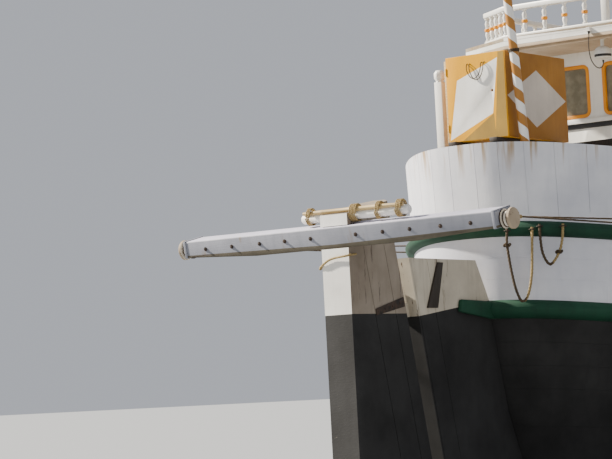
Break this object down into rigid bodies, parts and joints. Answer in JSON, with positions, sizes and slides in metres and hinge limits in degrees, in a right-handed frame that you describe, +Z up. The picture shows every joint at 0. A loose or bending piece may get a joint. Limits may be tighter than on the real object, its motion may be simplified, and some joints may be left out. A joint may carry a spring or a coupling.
{
  "type": "wooden cargo dhow sailing boat",
  "caption": "Wooden cargo dhow with a rounded stern, green rubbing wales, outboard rudder with a steering yoke, deckhouse, mast and lateen yard.",
  "frame": {"origin": "amidships on the centreline, at the waterline", "axes": "+X forward to the stem, +Y to port, +Z up"},
  "size_m": [27.4094, 6.6546, 14.4904],
  "materials": {
    "hull_white": "white oil paint on planks, chalky, with rust streaks",
    "hull_black": "matt black bottom paint",
    "wale_green": "dark green gloss paint, scuffed",
    "stern_timber": "weathered grey planks with worn paint",
    "yoke_grey": "blue-grey paint, worn",
    "bare_timber": "oiled hardwood",
    "deck_timber": "scrubbed bare planks",
    "locker_paint": "yellow gloss paint with white diamonds",
    "house_paint": "white gloss paint with orange trim",
    "staff_paint": "white paint with a brown-orange spiral stripe",
    "propeller_bronze": "cast bronze, dull",
    "rope": "laid natural fibre rope",
    "sail_cloth": "unbleached cotton canvas",
    "steel_wire": "galvanised wire",
    "lamp_enamel": "white enamel, yellowed",
    "cable_rubber": "black rubber sheath, dull"
  },
  "bodies": {
    "hull": {"hull_bottom": "hull_black", "hull_topsides": "hull_white", "upper_wale": "wale_green", "lower_wale_port": "wale_green", "lower_wale_starboard": "wale_green", "stern_bulwark": "hull_white", "waist_bulwark_port": "hull_white", "bow_bulwark_port": "hull_white", "waist_rail_port": "hull_white", "waist_bulwark_starboard": "hull_white", "bow_bulwark_starboard": "hull_white", "waist_rail_starboard": "hull_white", "main_deck": "deck_timber", "keel": "hull_black", "stem": "hull_black", "sternpost": "stern_timber", "stern_locker": "locker_paint", "locker_bearer_port": "bare_timber", "locker_bearer_starboard": "bare_timber", "locker_thwart": "bare_timber", "stern_post": "house_paint", "ensign_staff": "staff_paint", "deckhouse_aft_wall": "house_paint", "deckhouse_front_wall": "house_paint", "deckhouse_port_wall": "house_paint", "deckhouse_starboard_wall": "house_paint", "helm_platform": "deck_timber", "wheel_pedestal": "bare_timber", "upper_deck": "house_paint", "upper_deck_balustrade": "house_paint", "hatch_coaming": "stern_timber", "hatch_boards": "deck_timber", "fore_bitts": "bare_timber", "mast": "bare_timber", "forestay": "steel_wire", "shrouds_port": "steel_wire", "shrouds_starboard": "steel_wire", "rope_swag_aft": "rope", "rope_swag_fore": "rope", "stern_lamp": "lamp_enamel", "lamp_cable": "cable_rubber"},
    "rudder": {"rudder_blade": "stern_timber", "rudder_yoke": "yoke_grey", "yoke_drum_port": "yoke_grey", "yoke_drum_starboard": "yoke_grey", "rudder_head_pole": "house_paint"},
    "propeller": {"propeller": "propeller_bronze"},
    "yard": {"lateen_yard": "bare_timber", "furled_sail": "sail_cloth", "yard_parrel": "rope"},
    "house_door": {"deckhouse_door": "house_paint"},
    "locker_lid": {"locker_door": "locker_paint"},
    "helm_wheel": {"steering_wheel": "bare_timber"}
  },
  "joints": [
    {"name": "rudder_steer", "type": "hinge", "parent": "hull", "child": "rudder", "pos_m": [-12.11, 0, 2.93], "axis": [-0.2079, 0, 0.9781], "range_deg": [-30, 30]},
    {"name": "propeller_spin", "type": "hinge", "parent": "hull", "child": "propeller", "pos_m": [-10.3853, 0, -0.62], "axis": [1, 0, 0], "continuous": true},
    {"name": "yard_slew", "type": "hinge", "parent": "hull", "child": "yard", "pos_m": [4.7, 0, 2.3], "axis": [0.0698, 0, 0.9976], "range_deg": [-20, 20]},
    {"name": "house_door_swing", "type": "hinge", "parent": "hull", "child": "house_door", "pos_m": [-4.6, -2.09, 3.8], "axis": [0, 0, -1], "range_deg": [0, 95]},
    {"name": "locker_door_swing", "type": "hinge", "parent": "hull", "child": "locker_lid", "pos_m": [-10.69, 0.22, 4.54], "axis": [0, 0, -1], "range_deg": [0, 110]},
    {"name": "wheel_turn", "type": "hinge", "parent": "hull", "child": "helm_wheel", "pos_m": [-2.6303, 0, 4.68], "axis": [1, 0, 0], "range_deg": [-365, 365]}
  ],
  "couplings": [
    {"joint": "wheel_turn", "follows": "rudder_steer", "ratio": 12}
  ]
}
